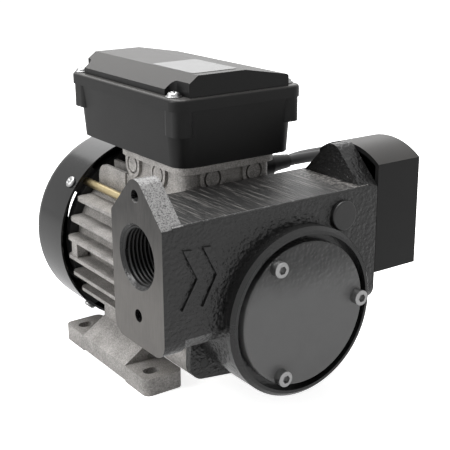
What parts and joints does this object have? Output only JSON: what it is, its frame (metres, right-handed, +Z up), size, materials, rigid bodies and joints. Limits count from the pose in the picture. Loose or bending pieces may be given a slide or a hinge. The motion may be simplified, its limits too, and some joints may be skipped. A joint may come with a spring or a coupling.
{
  "type": "diesel transfer pump",
  "caption": "Self-priming vane pump with two flanged ports, close-coupled to a finned foot-mounted motor with a terminal box on top and a power cord.",
  "frame": {"origin": "centre of the four foot slots, on the surface the pump stands on", "axes": "+X from the inlet flange to the outlet flange, +Y from the pump cover to the fan along the motor shaft, +Z up"},
  "size_m": [0.2208, 0.2735, 0.1788],
  "materials": {
    "cast_iron_black": "rough",
    "machined_iron": "satin",
    "cast_aluminium": "rough",
    "black_sheet_steel": "gloss",
    "black_plastic": "matte",
    "zinc_steel": "satin",
    "yellow_zinc": "satin",
    "shaft_steel": "polished",
    "lamination_steel": "satin",
    "copper_winding": "satin",
    "black_rubber": "matte",
    "white_plastic": "satin"
  },
  "bodies": {
    "housing": {"pump_body": "cast_iron_black", "front_cover": "machined_iron", "cover_o_ring": "black_rubber", "cover_screws": "zinc_steel", "shaft_seal": "black_rubber", "bypass_plug": "cast_iron_black", "bypass_spring": "zinc_steel", "motor_frame": "cast_aluminium", "front_shield": "cast_aluminium", "front_bearing": "shaft_steel", "rear_shield": "black_sheet_steel", "rear_bearing": "shaft_steel", "stator_core": "lamination_steel", "stator_winding": "copper_winding", "tie_rods": "yellow_zinc", "rod_nuts": "yellow_zinc", "fan_cover": "black_sheet_steel", "fan_cover_screws": "zinc_steel", "terminal_box": "black_plastic", "box_screws": "zinc_steel", "terminal_lid": "black_plastic", "lid_gasket": "black_rubber", "lid_screws": "zinc_steel", "terminal_block": "white_plastic", "capacitor": "white_plastic", "cable_gland": "black_plastic", "gland_nut": "black_plastic", "power_cord": "black_rubber", "cord_coil": "black_rubber", "plug": "black_rubber"},
    "rotor": {"pump_rotor": "machined_iron", "vanes": "black_plastic", "motor_shaft": "shaft_steel", "rotor_core": "lamination_steel", "fan": "black_plastic"},
    "poppet": {"bypass_poppet": "machined_iron"},
    "outlet_cover": {"outlet_cover": "black_plastic"}
  },
  "joints": [
    {"name": "rotor_spin", "type": "hinge", "parent": "housing", "child": "rotor", "pos_m": [0, 0, 0.063], "axis": [0, 1, 0], "continuous": true},
    {"name": "bypass_lift", "type": "slide", "parent": "housing", "child": "poppet", "axis": [0, -1, 0], "range_m": [0, 0.003], "stiffness_N_per_m": 4000, "springref_m": -0.003, "deforming": ["bypass_spring"]},
    {"name": "outlet_cover_pull", "type": "slide", "parent": "housing", "child": "outlet_cover", "axis": [1, 0, 0], "range_m": [0, 0.05]}
  ]
}
